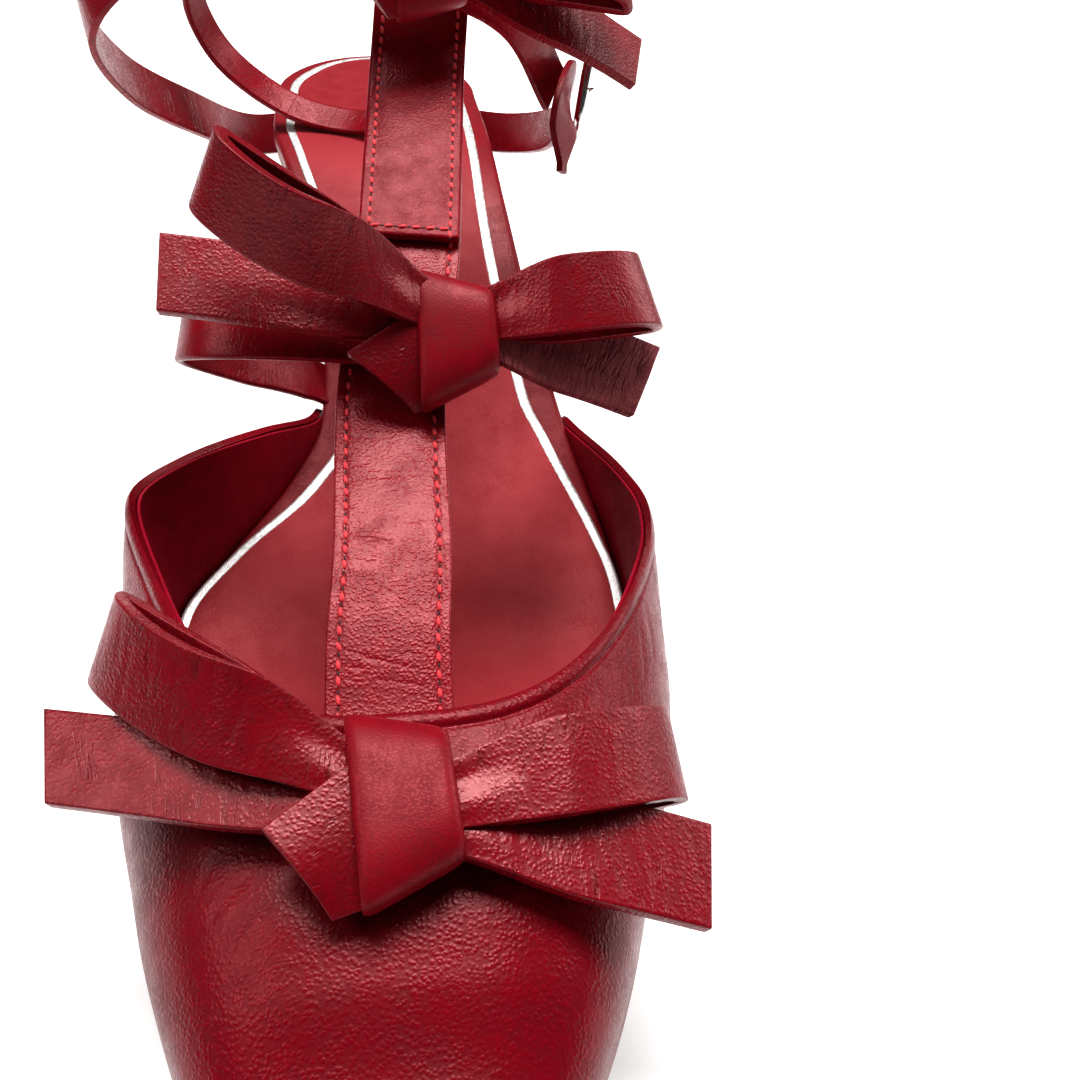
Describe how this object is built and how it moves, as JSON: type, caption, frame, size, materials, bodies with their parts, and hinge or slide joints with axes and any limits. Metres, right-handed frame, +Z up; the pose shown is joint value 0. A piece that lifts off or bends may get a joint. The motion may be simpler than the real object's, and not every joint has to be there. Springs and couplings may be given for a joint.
{
  "type": "heeled strap pump",
  "caption": "Left heeled leather pump with a closed rounded toe, open sides, a T-strap, a slack buckled ankle strap and ribbon bows on the toe, instep and ankle.",
  "frame": {"origin": "centre of the bounding box at floor level", "axes": "+Z up from the floor, +Y from toe to heel, +X to the outer (lateral) side of the left foot"},
  "size_m": [0.0944, 0.2554, 0.1167],
  "materials": {
    "leather": "fine-grained, soft sheen",
    "insole": "smooth, with a thin silver line",
    "heel": "leather-covered, soft sheen",
    "outsole": "smooth sole leather",
    "heel_tip": "matt",
    "buckle": "polished"
  },
  "bodies": {
    "root": {"outsole": "outsole", "insole": "insole", "heel": "heel", "heel_tip": "heel_tip", "vamp": "leather", "t_strap_lower": "leather", "t_strap_upper": "leather", "instep_strap": "leather", "ankle_strap": "leather", "ankle_wrap": "leather", "bow_toe": "leather", "bow_instep": "leather", "bow_ankle": "leather", "buckle_frame": "buckle", "buckle_prong": "buckle"}
  },
  "joints": []
}
